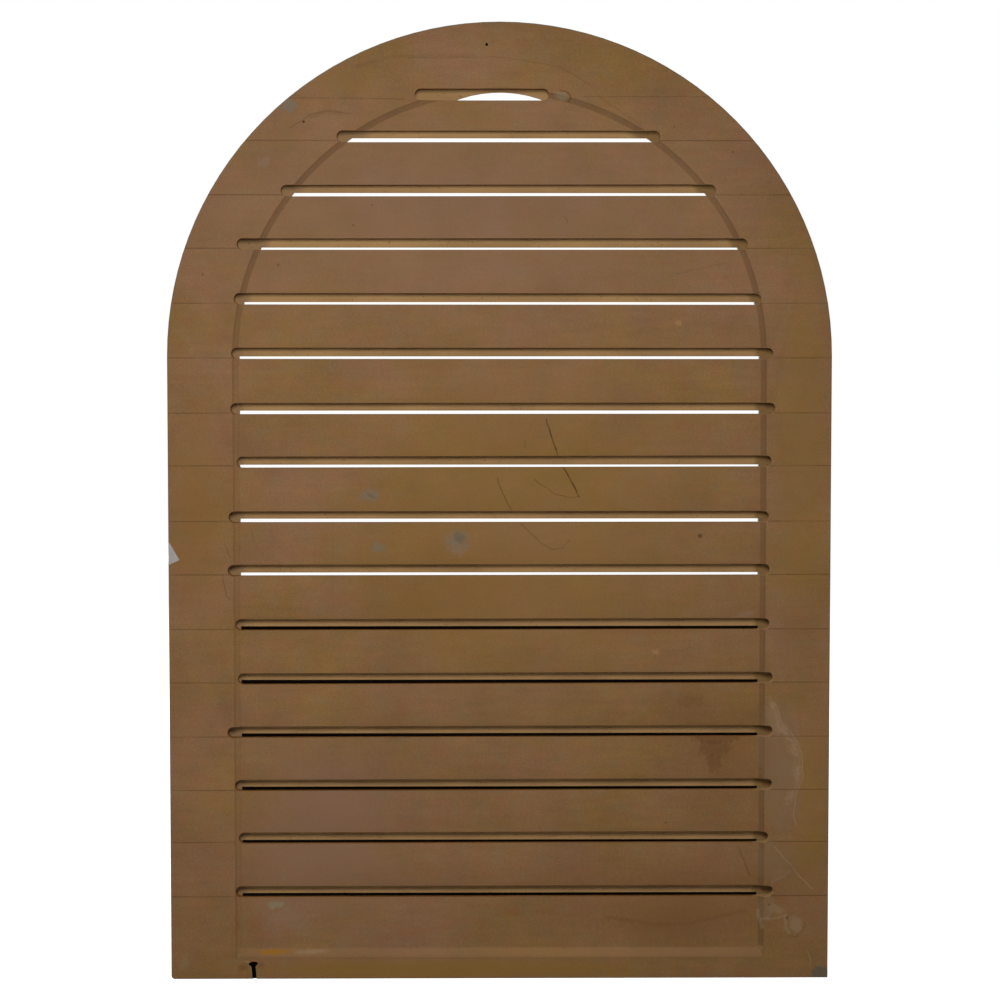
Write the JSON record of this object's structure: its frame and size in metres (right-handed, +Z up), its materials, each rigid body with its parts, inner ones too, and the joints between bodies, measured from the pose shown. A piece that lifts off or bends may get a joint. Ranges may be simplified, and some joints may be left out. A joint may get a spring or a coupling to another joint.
{
  "type": "gable vent",
  "caption": "Round-top moulded foam gable vent with a flat trim frame and fixed louvres, air slots cut through from its recessed wall side.",
  "frame": {"origin": "middle of the bottom edge, halfway through the thickness", "axes": "+Z up the vent, +Y through its thickness from the wall side to the weather side, +X to the right as seen from the wall side"},
  "size_m": [0.5588, 0.0382, 0.8082],
  "materials": {
    "vent_panel": "raw moulded urethane skin on the wall side, paler cut foam in the slots, light primer on the weather side"
  },
  "bodies": {
    "root": {"vent_panel": "vent_panel"}
  },
  "joints": []
}
